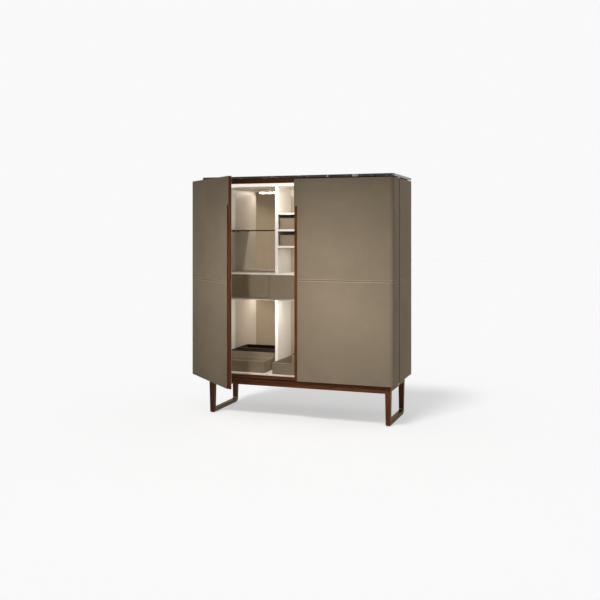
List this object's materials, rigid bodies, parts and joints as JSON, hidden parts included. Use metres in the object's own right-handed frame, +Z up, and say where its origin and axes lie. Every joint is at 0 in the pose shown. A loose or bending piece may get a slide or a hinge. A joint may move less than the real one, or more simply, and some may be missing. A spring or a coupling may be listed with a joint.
{
  "type": "bar cabinet",
  "caption": "Leather-clad bar cabinet on a walnut and metal sled base, with wrap-round doors, a mirrored lit interior and a fold-out shelf.",
  "frame": {"origin": "on the floor under the middle of the cabinet", "axes": "+X to the right seen from the front, +Y to the back, +Z up"},
  "size_m": [1.4002, 0.9421, 1.579],
  "materials": {
    "walnut": "satin oiled",
    "taupe_leather": "fine grain",
    "lining_leather": "fine grain",
    "case_board": "matt lacquer",
    "satin_metal": "satin",
    "cream_lacquer": "satin lacquer",
    "stone": "polished",
    "mirror": "bronze mirror",
    "smoked_glass": "polished",
    "steel": "brushed",
    "brass": "burnished",
    "black_plastic": "matt",
    "light_channel": "anodised",
    "light_cover": "opal"
  },
  "bodies": {
    "cabinet": {"back_board": "case_board", "band_dividers": "cream_lacquer", "band_floor": "cream_lacquer", "band_stile": "taupe_leather", "base_runners": "satin_metal", "base_spacers": "black_plastic", "bottom_board": "walnut", "ceiling_panel": "cream_lacquer", "centre_drawer_box": "cream_lacquer", "centre_drawer_front": "taupe_leather", "centre_tray": "taupe_leather", "cubby_shelves": "cream_lacquer", "door_magnets": "steel", "drawer_runners": "steel", "floor_panel": "cream_lacquer", "fold_shelf_knuckles": "brass", "foot_glides": "black_plastic", "front_base_rail": "walnut", "front_legs": "walnut", "glass_shelves": "smoked_glass", "led_diffusers": "light_cover", "led_driver": "black_plastic", "led_profiles": "light_channel", "left_rear_tray": "taupe_leather", "left_side_leather": "taupe_leather", "left_side_shell": "case_board", "left_wall": "cream_lacquer", "lower_dividers": "cream_lacquer", "mirrors": "mirror", "pivot_plates": "steel", "pivot_screws": "steel", "pivot_washers": "black_plastic", "rear_base_rail": "walnut", "rear_legs": "walnut", "rear_panel": "case_board", "right_drawer_box": "cream_lacquer", "right_drawer_front": "taupe_leather", "right_side_leather": "taupe_leather", "right_side_shell": "case_board", "right_wall": "cream_lacquer", "shelf_pins": "brass", "side_base_rails": "satin_metal", "stone_top": "stone", "top_board": "walnut", "upper_dividers": "cream_lacquer", "worktop": "cream_lacquer"},
    "left_door": {"left_door_core": "walnut", "left_door_leather": "taupe_leather", "left_door_lining": "lining_leather", "left_door_hardware": "brass"},
    "right_door": {"right_door_core": "walnut", "right_door_leather": "taupe_leather", "right_door_lining": "lining_leather", "right_door_hardware": "brass"},
    "fold_shelf": {"fold_shelf_panel": "walnut", "fold_shelf_leather": "taupe_leather", "fold_shelf_pins": "steel"},
    "upper_box": {"upper_cubby_box": "taupe_leather"},
    "lower_box": {"lower_cubby_box": "taupe_leather"},
    "front_tray": {"left_front_tray": "taupe_leather"}
  },
  "joints": [
    {"name": "left_door_hinge", "type": "hinge", "parent": "cabinet", "child": "left_door", "pos_m": [-0.645, -0.122, 0.9], "axis": [0, 0, -1], "range_deg": [-43.2, 51.8]},
    {"name": "right_door_hinge", "type": "hinge", "parent": "cabinet", "child": "right_door", "pos_m": [0.645, -0.122, 0.9], "axis": [0, 0, 1], "range_deg": [0, 95]},
    {"name": "fold_shelf_hinge", "type": "hinge", "parent": "cabinet", "child": "fold_shelf", "pos_m": [-0.354, -0.238, 0.791], "axis": [1, 0, 0], "range_deg": [0, 90]},
    {"name": "upper_box_slide", "type": "slide", "parent": "cabinet", "child": "upper_box", "axis": [0, -1, 0], "range_m": [0, 0.12]},
    {"name": "lower_box_slide", "type": "slide", "parent": "cabinet", "child": "lower_box", "axis": [0, -1, 0], "range_m": [0, 0.12]},
    {"name": "front_tray_slide", "type": "slide", "parent": "cabinet", "child": "front_tray", "axis": [0, -1, 0], "range_m": [0, 0.1]}
  ]
}
